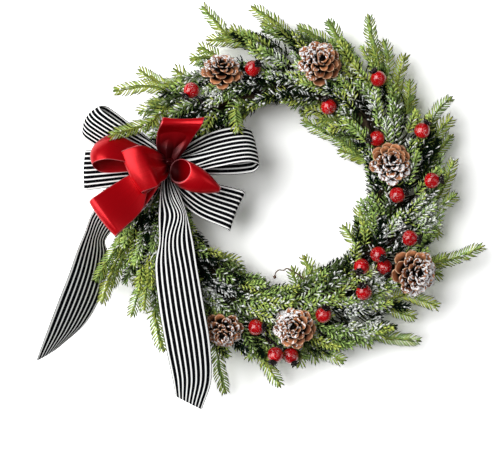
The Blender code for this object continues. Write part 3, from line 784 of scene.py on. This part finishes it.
# seat, then the place of each berry and the way its calyx looks (right, up)
berries = [
    ((323, 99), [((319.5, 160.5, 55), (-0.6, -0.7))]),
    ((345, 100), [((347.5, 151, 56), (0.3, 0.2))]),
    ((48, 54), [((40, 177, 54), (-0.6, 0.8))]),
    ((32, 120), [((28.5, 118, 46), (-0.4, 0.7))]),
    ((72, 6), [((65.5, 181, 54), (0.5, 0.9))]),
    ((60, 150), [((59.5, 131, 46), (-0.9, -0.1))]),
    ((96, 18), [((84.5, 177, 54), (0.9, 0.1))]),
    ((93, 129), [((90, 136, 52), (0.8, 0.3))]),
    ((115, 75), [((108.5, 158.5, 56), (0.9, -0.1))]),
    ((128, 90), [((121.5, 132.5, 60), (0.2, -0.2)), ((131.5, 126, 52), (-0.2, -0.3)), ((124.5, 148, 44),
        (0.3, -0.8))]),
    ((142, 60), [((139.5, 149, 54), (-0.2, 0.5))]),
    ((161, 93), [((160.5, 148.5, 54), (0.2, 0.6))]),
    ((194, 60), [((190.6, 157, 54), (0.7, 0.1))]),
    ((193, 9), [((182, 186, 58), (-0.2, -0.5)), ((176.4, 188.5, 46), (0.3, -0.6))]),
]


def addBerry(shape, centre, way, rng):
    # a smooth hip, a little drawn out towards its calyx
    side = way.orthogonal().normalized()
    third = way.cross(side)
    rings, sides = berry["grid"]
    longer, slimmer = berry["drawn"]
    points = []
    for polar in (pi * i / (rings - 1) for i in range(rings)):
        reach = cos(polar) * (1 + longer * cos(polar))
        width = sin(polar) * (1 - slimmer * cos(polar))
        for turn in (2 * pi * j / sides for j in range(sides)):
            lump = 1 + berry["lumps"] * sin(3 * turn + 5 * reach)
            points.append(centre + (way * reach + turned(side, third, turn) * width * lump) * berry["radius"] * mm)
    shape.add(points, gridFaces(rings, sides, True))
    # the calyx: a dark collar and its dry sepals
    top = centre + way * berry["radius"] * berry["top"] * mm
    before, after = berry["collarReach"]
    addTube(shape, [top - way * before * mm, top + way * after * mm], berry["collar"], 10, 3, slot=1)
    for k in range(berry["sepals"]):
        turn = 2 * pi * (k + rng.uniform(-berry["uneven"], berry["uneven"])) / berry["sepals"]
        out = turned(side, third, turn)
        reach = rng.uniform(*berry["sepalLengths"])
        path = [top + out * 1.4 * mm, top + (out * 2.4 + way * 1.8) * mm,
                top + (out * reach * 0.75 + way * rng.uniform(*berry["sepalRises"])) * mm]
        addTube(shape, path, berry["sepal"], 5, 6, slot=1)


def addBerries(name, rest, fruit):
    rng = random.Random(name)
    run = copysign(berry["seatRun"], rest[0] - fruit[0][0][0])
    way = smoothPath(seat(*rest, run=run) + [spot(*fruit[0][0])])
    shape = Shape()
    addTube(shape, way, (stem["radius"], stem["radius"], 1), 8, 24, slot=1)
    for place, _ in fruit[1:]:
        addTube(shape, [way[-3], spot(*place)], (berry["forkRadius"],) * 2, 8, 8, slot=1)
    for place, (right, up) in fruit:
        addBerry(shape, spot(*place), Vector((right, berry["forward"], up)).normalized(), rng)
    return shape.build(name, "berry_red", ["berry", "calyx"])


berryObjects = [addBerries(f"berry_pick_{i + 1:02}", *facts) for i, facts in enumerate(berries)]


# Dried tendril
tendril = {
    "seat": (172, 150), "run": 5, "radii": (1.1, 0.9, 0.8, 0.7), "bud": (0.6, 2, 2.1, 0.5), "budReach": (2.2, 2.4),
    "way": ((167, 108.5, 36), (164.5, 104, 38), (166.5, 97, 40), (171.5, 90, 42), (175, 86.5, 40),
            (177.5, 88.5, 38), (181, 88, 37), (183.5, 91.5, 36), (184, 96.5, 36)),
}


def addTendril():
    path = smoothPath(seat(*tendril["seat"], run=tendril["run"]) + [spot(*place) for place in tendril["way"]], 6)
    shape = Shape()
    addTube(shape, path, tendril["radii"], 8, 90)
    bud = path[-1]
    way = (bud - path[-3]).normalized()
    before, after = tendril["budReach"]
    addTube(shape, [bud - way * before * mm, bud, bud + way * after * mm], tendril["bud"], 10, 9)
    shape.build("vine_tendril", "dried_vine", ["twig"])


addTendril()
for place in bpy.data.objects["bow_tie_wire"].material_slots:
    place.material = paints["wire"]


print("stage: pine sprigs")
pine = {
    "needle": 10.6, "width": 1.9, "tier": 4.1, "tuftLean": 33, "twig": (1, 1, 0.45), "tipShort": 6, "sag": 0.06,
    "short": {"tier": 1, "around": 6, "reach": 1, "width": 1, "bark": 1, "shade": (0.42, 0.92, 0.04),
              "wild": (0.4, 13), "lean": 52, "covers": True, "wire": 0},
    "long": {"tier": 0.7, "around": 4, "reach": 1.08, "width": 1.25, "bark": 0.65, "shade": (0.92, 0.46, 0),
             "wild": (0.25, 7), "lean": 46, "covers": False},
    "wire": {"from": 236, "length": 8, "radii": (0.4, 0.25)}, "tones": (0.66, 0.94), "sizes": (1.14, 1.24),
    "steps": 120, "cut": 0.6, "squash": 0.8, "foot": 0.6, "belly": 0.68, "caught": 0.85, "crumbRoom": 2.5,
    "seeds": (11, 5),
}
# the short sprigs between the long tips: rows are radii and counts, edges are clocks and radii
fill = {
    # what changes with the radius: the way a sprig turns, its depth, and how dark it may be
    "turns": ((110, 124, 150, 178), (-38, -6, 22, 48)),
    "depths": ((105, 116, 132, 150, 180), (30, 40, 44, 42, 30)),
    "darkest": ((112, 125, 150, 172), (-0.3, -0.42, -0.48, -0.1)),
    "spread": 24, "lengths": ((22, 32), (28, 42)), "shortWithin": 118, "forward": (-3, 5), "rise": (1, 11),
    "underDepth": 13, "underRise": (-3, 7), "rootReach": 0.85, "rootAhead": 3, "rootSunk": 3,
    # tones: the sprigs underneath are given tones near black, as painted shade under the sprigs above
    "tones": (0, 0.04), "sizes": (0.92, 1.08), "tries": 8, "enough": 10, "fewest": 8, "ownerStep": 8,
    "rows": ((111, 38), (119, 46), (127, 54), (135, 56), (144, 54), (153, 52), (163, 50), (173, 48), (184, 46)),
    "underRows": ((116, 44), (140, 44), (162, 50), (178, 50)),
    "innerEdge": ((0, 117), (12, 120), (24, 108), (36, 112), (48, 98), (60, 99), (72, 114), (84, 115), (96, 112),
                  (108, 97), (120, 94), (132, 106), (144, 114), (156, 106), (168, 112), (180, 114), (192, 115),
                  (204, 107), (216, 100), (235, 104), (250, 112), (262, 118), (290, 112), (312, 110), (324, 104),
                  (336, 106), (348, 112), (360, 117)),
    "outerEdge": ((0, 196), (12, 192), (24, 190), (36, 202), (48, 186), (60, 180), (72, 196), (84, 194), (96, 188),
                  (108, 192), (120, 182), (132, 196), (144, 205), (156, 200), (168, 192), (192, 192), (204, 196),
                  (240, 205), (252, 212), (264, 215), (276, 205), (288, 180), (300, 178), (312, 186), (324, 178),
                  (336, 176), (348, 196), (360, 196)),
    "gaps": ((344, 174, 13), (120, 184, 12), (132, 176, 11), (36, 108, 9), (3, 172, 8)),
}
# seat, joint, then the end, or the way, of each tip
picks = [
    ((104, 45), (96, 178, 31), [(89.5, 209, 34), (78, 209, 40), (105, 195, 24)]),
    ((88, 45), (76, 180, 30), [(70.5, 216, 28), [(67.8, 204, 36), (65.5, 222, 40)],
        [(64.4, 197, 31), (61.5, 213, 32), (60, 234, 33)]]),
    ((70, 45), (57, 178, 32), [(52.8, 198, 24), (48, 204, 42), [(48, 186, 33), (44.6, 200, 34), (41.4, 223, 34)]]),
    ((55, 60), (40, 184, 28), [[(41.5, 191, 30), (38, 207, 30), (33.5, 222, 28)],
        [(34.2, 202, 31), (30, 216, 34), (26, 237, 38)], (32, 205, 44)]),
    ((38, 45), (25, 180, 28), [(24, 197, 36), (15, 216, 32), (6, 203, 22)]),
    ((21, 45), (5, 184, 32), [(351.5, 226, 32), (354, 204, 44)]),
    ((3, 45), (350, 184, 28), [[(342, 198, 30), (340.5, 210, 32), (337.5, 243, 34)], (343, 205, 40), (335, 205, 22)]),
    ((348, 45), (336, 180, 30), [(331, 200, 40), (326.5, 194, 28)]),
    ((333, 45), (321, 178, 28), [[(315, 187, 32), (312.8, 203, 30), (311.5, 226, 28)],
        [(313, 186, 34), (309.3, 204, 36), (302, 233, 36)], (320, 196, 36)]),
    ((320, 60), (309, 172, 40), [(304.5, 190, 36), (300, 193, 45),
        [(303, 170, 56), (299, 172, 68), (288.6, 207, 86)]]),
    ((296, 45), (283, 166, 20), [(270, 205, 20), (261, 196, 24)]),
    ((273, 45), (257, 180, 30), [(245, 240, 46), (239, 246, 42),
        [(253, 188, 30), (247.5, 206, 34), (241.5, 228, 32)]]),
    ((254, 45), (242, 172, 32), [(231, 228, 28), (229.5, 212, 44), (239, 204, 20)]),
    ((233, 45), (224, 182, 28), [[(227.5, 200, 30), (223, 214, 32), (217, 231, 32)], (219, 212, 44)]),
    ((217, 45), (205, 182, 28), [(195.5, 244, 28), (198, 202, 40), (210, 205, 34)]),
    ((201, 45), (189, 176, 30), [(180, 226, 32), (191, 198, 36), (182, 206, 22)]),
    ((181, 33), (170, 178, 28), [(167, 202, 26), (158.5, 210, 38), (174, 204, 38)]),
    ((166, 45), (152, 176, 28), [(149, 210, 24), (136, 240, 32), (143, 205, 44)]),
    ((149, 45), (136, 180, 28), [(132, 217, 26), [(129.5, 187, 32), (126.7, 206, 36), (125, 229, 38)]]),
    ((133, 45), (118, 184, 22), [(116, 216, 20), (104, 248, 34), (110, 210, 38)]),
    ((48, 145), (38, 112, 34), [[(22, 116, 34), (14.5, 98, 30)], (26, 99, 40), (27, 101, 22)]),
    ((80, 145), (68, 112, 32), [(52, 87, 36), (59, 100, 26), [(50, 97, 36), (35, 92, 38), (16, 92, 40)]]),
    ((137, 145), (122, 108, 32), [(115.5, 83, 30), (97.5, 95, 38)]),
    ((180, 145), (168, 110, 32), [[(158.5, 96, 32), (158.5, 77, 32)], (171, 86, 40), (150, 98, 28)]),
    ((352, 145), (341, 110, 32), [[(334, 115, 50), (329.5, 103, 61), (325, 86, 65)], (330, 106, 22)]),
    ((236, 145), (226, 108, 32), [[(216, 96, 36), (204, 105, 34)], (215, 94, 28)]),
]
# where the white flock lies thick: clock, radius, reach and how thick
flockPatches = ((213, 140, 34, 0.54), (146, 172, 40, 0.54), (97, 175, 34, 0.52), (131, 155, 30, 0.54),
                (0, 150, 40, 0.34), (325, 150, 40, 0.42), (43, 150, 26, 0.32), (60, 150, 26, 0.36),
                (172, 150, 26, 0.44), (230, 160, 30, 0.46), (108, 140, 30, 0.46))
# where the sprigs are dark: clock, radius, reach and how dark
shadePatches = ((42, 136, 34, 0.6), (70, 160, 34, 0.5), (92, 160, 30, 0.5), (160, 124, 24, 0.5), (228, 130, 34, 0.5),
                (330, 128, 30, 0.4))


def treeOf(objects):
    points, faces = [], []
    graph = bpy.context.evaluated_depsgraph_get()
    for obj in objects:
        mesh = obj.evaluated_get(graph).to_mesh()
        first = len(points)
        points.extend(v.co.copy() for v in mesh.vertices)
        faces.extend([i + first for i in face.vertices] for face in mesh.polygons)
    return BVHTree.FromPolygons(points, faces)


solids = treeOf(bows + coneObjects + berryObjects)
wallWay = Vector((0, 1, 0))


def blocked(start, end, covers):
    # True if a step runs through a cone, berry or ribbon, or would hide one
    step = end - start
    if solids.ray_cast(start, step, step.length)[0] is not None:
        return True
    return covers and solids.ray_cast(end, wallWay, 0.08)[0] is not None


def patchAt(points, patches):
    # each point's share of the patches: 0 outside them all
    inside = np.zeros(len(points))
    for clock, reach, size, strength in patches:
        centre = spot(clock, reach, 0)
        away = np.hypot(points[:, 0] - centre.x, points[:, 2] - centre.z) / mm
        inside = np.maximum(inside, strength * (1 - smoothStep(size * 0.3, size, away)))
    return inside


def flockAt(points):
    # how much flock lies at each of some points
    radius = np.hypot(points[:, 0] / mm, points[:, 2] / mm - centreZ)
    thin = 0.16 * (1 - smoothStep(158, 190, radius)) * smoothStep(100, 120, radius)
    return np.maximum(thin, patchAt(points, flockPatches))


crumbPoints = np.array([(1, 0, 0), (-1, 0, 0), (0, 1, 0), (0, -1, 0), (0, 0, 1), (0, 0, -1)]) * (0.9, 1, 0.8)
crumbFaces = ((0, 2, 4), (2, 1, 4), (1, 3, 4), (3, 0, 4), (2, 0, 5), (1, 2, 5), (3, 1, 5), (0, 3, 5))
needleFaces = ((0, 1, 4), (0, 4, 3), (1, 2, 5), (1, 5, 4), (2, 0, 3), (2, 3, 5), (3, 4, 6), (4, 5, 6), (5, 3, 6))


def addSprig(shape, path, tone, rng, form, bare=0, size=1):
    # a twig with tiers of needles round it and a tuft at its end
    length = sum((b - a).length for a, b in zip(path, path[1:])) / mm
    tiers = max(int((length - bare) / (pine["tier"] * size * form["tier"])), 2)
    addTube(shape, path, pine["twig"], 5, max(int(length / 4), 5), (0.6, tone, 0, form["bark"]))
    around = form["around"]
    count = tiers * around
    spin, tilt, grow, luck, girth, slip = rng.random((count, 6)).T[..., None]
    # where each needle grows from the twig
    tier, place = (values.reshape(-1, 1) for values in np.divmod(np.arange(count), around))
    t = (bare + (length - bare) * (tier + 0.75 + (slip - 0.5) * 0.2) / tiers) / length
    even, ways = walk(path, pine["steps"])
    at = np.clip(t * (pine["steps"] - 1), 0, pine["steps"] - 1)
    low = np.minimum(at.astype(int), pine["steps"] - 2)
    row = low[:, 0]
    bases = even[row] * (1 - (at - low)) + even[row + 1] * (at - low)
    tangent = ways[row]
    side = unit(np.cross(tangent, (0, -1, 0)))
    spread, wild = form["wild"]
    turn = 2 * np.pi * (place + (spin - 0.5) * spread) / around
    radial = side * np.cos(turn) + np.cross(side, tangent) * np.sin(turn)
    nearTip = smoothStep(0.8 if length > 20 else 0.6, 1, t)
    lean = np.radians(form["lean"] + (pine["tuftLean"] - form["lean"]) * nearTip + (tilt - 0.5) * wild)
    direction = tangent * np.cos(lean) + radial * np.sin(lean)
    reach = pine["needle"] * size * form["reach"] * (0.85 + 0.25 * grow) * (1 - 0.22 * nearTip) * mm
    ends = bases + (direction * 0.95 + tangent * 0.07) * reach
    # a needle that runs into something is cut short, and left out if that doesn't help
    keep = np.ones(count, bool)
    for k in range(count):
        if blocked(Vector(bases[k]), Vector(ends[k]), form["covers"]) and luck[k, 0] > 0.1:
            ends[k] = bases[k] + (ends[k] - bases[k]) * pine["cut"]
            reach[k] *= pine["cut"]
            keep[k] = not blocked(Vector(bases[k]), Vector(ends[k]), form["covers"])
    if not keep.any():
        return
    bases, ends, radial, reach, direction, spin, tilt, grow, luck, girth = (
        values[keep] for values in (bases, ends, radial, reach, direction, spin, tilt, grow, luck, girth))
    amount = flockAt((bases + ends) / 2)[:, None]
    snow = np.clip((amount - luck) / 0.2 + 0.5, 0, 1)
    across = unit(np.cross(direction, radial))
    over = np.cross(across, direction)
    width = pine["width"] * size * form["width"] / 2 * (0.9 + 0.3 * girth) * (1 + 0.25 * snow) * mm
    points = np.zeros((len(bases), 7, 3))
    for k in range(3):
        corner = 2 * pi * k / 3
        out = (across * cos(corner) + over * sin(corner) * pine["squash"]) * width
        points[:, k] = bases + out * pine["foot"]
        points[:, k + 3] = bases + direction * reach * pine["belly"] + out
    points[:, 6] = ends
    notes = np.zeros((len(bases), 7, 4))
    notes[..., 0] = np.repeat(form["shade"], (3, 3, 1))
    notes[..., 1] = np.clip(tone * (1 - 0.35 * amount) + (grow - 0.5) * min(0.55, tone * 1.5), 0, 1)
    notes[..., 2] = snow * np.repeat((0.4, 1), (3, 4))
    shape.addCopies(points, needleFaces, notes)
    # grains of snow caught between the needles
    caught = (girth < snow * pine["caught"])[:, 0]
    if caught.any():
        places = (bases + direction * reach * (0.45 + 0.5 * tilt))[caught]
        places = places - np.array([0, width[caught].mean() * 0.7, 0])
        room = pine["crumbRoom"] * mm
        free = np.array([solids.find_nearest(Vector(place), room)[0] is None for place in places])
        sizes = (0.9 + 1 * spin)[caught][free]
        grains = crumbPoints * sizes[..., None] * mm + places[free, None]
        shape.addCopies(grains, crumbFaces, np.broadcast_to((1, 1, 1.6, 0), (*grains.shape[:2], 4)))
    if form["wire"]:
        end = path[-1]
        wire = [end, end + (end - path[-2]).normalized() * form["wire"] * mm]
        addTube(shape, wire, pine["wire"]["radii"], 5, 3, (0.6, 1, 0.3, 1))


def tipPath(fork, way):
    knots = [fork] + [spot(*place) for place in way]
    if len(knots) == 2:
        middle = (knots[0] + knots[1]) / 2
        outward = (middle - Vector((0, middle.y, centreZ * mm))).normalized()
        knots.insert(1, middle + outward * (knots[1] - knots[0]).length * pine["sag"])
    knots[-1] = knots[-1] - (knots[-1] - knots[-2]).normalized() * pine["tipShort"] * mm
    return smoothPath(knots, 6)


def fillTwig(clock, radius, under, rng):
    # a short sprig rooted between the canes: it runs anticlockwise, inward inside the ring, outward outside
    across = np.interp(radius, *fill["turns"]) + rng.uniform(-fill["spread"], fill["spread"])
    length = rng.uniform(*fill["lengths"][radius > fill["shortWithin"]])
    depth = np.interp(radius, *fill["depths"]) + rng.uniform(*fill["forward"])
    rise = rng.uniform(*fill["rise"])
    if under:
        depth -= fill["underDepth"]
        rise = rng.uniform(*fill["underRise"])
    nearest, furthest = (np.interp(clock % 360, *zip(*fill[edge])) for edge in ("innerEdge", "outerEdge"))
    if radius > furthest - 10 or radius < nearest - 8:
        return [], 0
    widest = bundleRadius * fill["rootReach"]
    off = min(max(radius - ring["radius"], -widest), widest)
    front = ringDepth + sqrt(bundleRadius ** 2 - off ** 2)
    root = spot(clock + fill["rootAhead"], ring["radius"] + off, front - fill["rootSunk"])
    start = spot(clock, min(max(radius, nearest), furthest - 8), depth)
    angle = radians(across)
    ahead = -degrees(length * cos(angle) / radius)
    outward = length * sin(angle)
    halfway = min(max(radius + outward * 0.42, nearest - 2), furthest - 4)
    middle = spot(clock + ahead * 0.5, halfway, depth + rise * 0.7)
    end = spot(clock + ahead, min(max(radius + outward, nearest - 4), furthest), depth + rise)
    for gapClock, gapRadius, size in fill["gaps"]:
        if min((place - spot(gapClock, gapRadius, depth)).length for place in (start, middle, end)) < size * mm:
            return [], 0
    return smoothPath([root, start, middle, end]), (start - root).length / mm


def trimmed(path):
    # the path up to the first step that runs into something
    for k, (a, b) in enumerate(zip(path, path[1:])):
        if blocked(a, b, True):
            return path[:k + 1]
    return path


def ownerOf(clock, radius):
    # the pick whose joint is nearest on the same side of the ring
    def away(number):
        ownClock, ownRadius, _ = picks[number][1]
        return abs((ownClock - clock + 180) % 360 - 180) + (40 if (ownRadius < 120) != (radius < 120) else 0)

    return min(range(len(picks)), key=away)


def addTips(shape, rest, joint, tips, rng, needleRng):
    # a pick's stem and its long tips
    root = spot(*joint)
    way = smoothPath(seat(*rest) + [root])
    addTube(shape, way, (stem["radius"],) * 2, 6, 24, (0.3, 0.3, 0, 1))
    back = (way[-2] - root).normalized()
    for tip in tips:
        tip = tip if isinstance(tip, list) else [tip]
        tone = rng.uniform(*pine["tones"])
        wire = pine["wire"]["length"] * (tip[-1][1] > pine["wire"]["from"])
        addSprig(shape, tipPath(root + back * 3 * mm, tip), tone, needleRng, {**pine["long"], "wire": wire},
                 size=rng.uniform(*pine["sizes"]))


def addFill(shapes, clock, radius, under, rng, needleRng):
    # one short sprig, tried a few times until it finds room
    for _ in range(fill["tries"]):
        path, bare = fillTwig(clock + rng.uniform(-3, 3), radius + rng.uniform(-5, 5), under, rng)
        path = trimmed(path)
        if len(path) > fill["enough"]:
            break
    if len(path) < fill["fewest"]:
        return
    deep = patchAt(array(path[-1:]), shadePatches)[0]
    darkest = np.interp(radius, *fill["darkest"]) - deep
    # the sprigs underneath get tones near black, as painted shade; the others get a tone at random
    tone = rng.uniform(*fill["tones"]) if under else max(rng.uniform(darkest, 1), 0)
    owner = ownerOf((clock - fill["ownerStep"]) % 360, radius)
    addSprig(shapes[owner], path, tone, needleRng, pine["short"], bare, rng.uniform(*fill["sizes"]))


def addPicks():
    rng, needleRng = random.Random(pine["seeds"][0]), np.random.default_rng(pine["seeds"][1])
    shapes = [Shape() for _ in picks]
    for shape, facts in zip(shapes, picks):
        addTips(shape, *facts, rng, needleRng)
    for rows, under in ((fill["rows"], False), (fill["underRows"], True)):
        for row, (radius, count) in enumerate(rows):
            for k in range(count):
                clock = 360 * (k + 0.5 * (row % 2) + rng.uniform(-0.3, 0.3)) / count
                addFill(shapes, clock, radius, under, rng, needleRng)
    for i, shape in enumerate(shapes):
        shape.build(f"pine_pick_{i + 1:02}", "pine_green", ["pine"], "pine")


addPicks()


print("stage: wall and light")
light = {
    # place, size and power
    "lamps": {
        "keyLamp": ((-1.75, -2.4, 0.45), 2.5, 115), "sideLamp": ((-2.3, -1.1, -0.5), 1.2, 14),
        "fillLamp": ((1.6, -2.4, -0.2), 1.6, 9), "backLamp": ((0.7, 2.4, 0.7), 1.8, 26),
    },
    "world": 0.1, "backdrop": 0.95, "wall": 3, "wallColour": (0.82, 0.82, 0.82), "wallSeen": (1.52, 1.52, 1.52),
}


def addWall():
    mesh = bpy.data.meshes.new("wall")
    half = light["wall"]
    mesh.from_pydata([(x * half, 0, z * half) for x, z in ((-1, -1), (1, -1), (1, 1), (-1, 1))], [], [(0, 1, 2, 3)])
    paint = Paint("wallPaint")
    seen = paint.node("LightPath", out=0).math("MAXIMUM", paint.node("LightPath", out=3))
    plain, bright = (paint.node("BsdfDiffuse", {}, {"Color": light[name]}) for name in ("wallColour", "wallSeen"))
    lit = paint.node("MixShader", {}, {0: seen, 1: plain, 2: bright})
    # from behind it is clear, and the back lamp shines through it
    unseen = paint.node("NewGeometry", out=6).math("MAXIMUM", paint.node("LightPath", out=1))
    final = paint.node("MixShader", {}, {0: unseen, 1: lit, 2: paint.node("BsdfTransparent")})
    output = next(n for n in paint.tree.nodes if n.type == "OUTPUT_MATERIAL")
    paint.tree.links.new(final.socket, output.inputs["Surface"])
    mesh.materials.append(paint.material)
    addObject("wall", mesh)


def addLamp(name, place, size, power):
    data = bpy.data.lights.new(name, "AREA")
    data.size = size
    data.energy = power
    lamp = addObject(name, data)
    lamp.location = place
    aim = Vector((0, 0, centreZ * mm)) - lamp.location
    lamp.rotation_euler = aim.to_track_quat("-Z", "Y").to_euler()


def addWorld():
    world = bpy.data.worlds.new("studio")
    world.use_nodes = True
    tree = world.node_tree
    back = tree.nodes["Background"]
    back.inputs["Color"].default_value = (1, 1, 1, 1)
    # pale to the camera, dim to the object
    seen = tree.nodes.new("ShaderNodeLightPath")
    level = tree.nodes.new("ShaderNodeMapRange")
    level.inputs["To Min"].default_value = light["world"]
    level.inputs["To Max"].default_value = light["backdrop"]
    tree.links.new(seen.outputs["Is Camera Ray"], level.inputs["Value"])
    tree.links.new(level.outputs["Result"], back.inputs["Strength"])
    bpy.context.scene.world = world


addWall()
for name, facts in light["lamps"].items():
    addLamp(name, *facts)
addWorld()
bpy.context.scene.view_settings.view_transform = "Standard"

print("stage: finish")
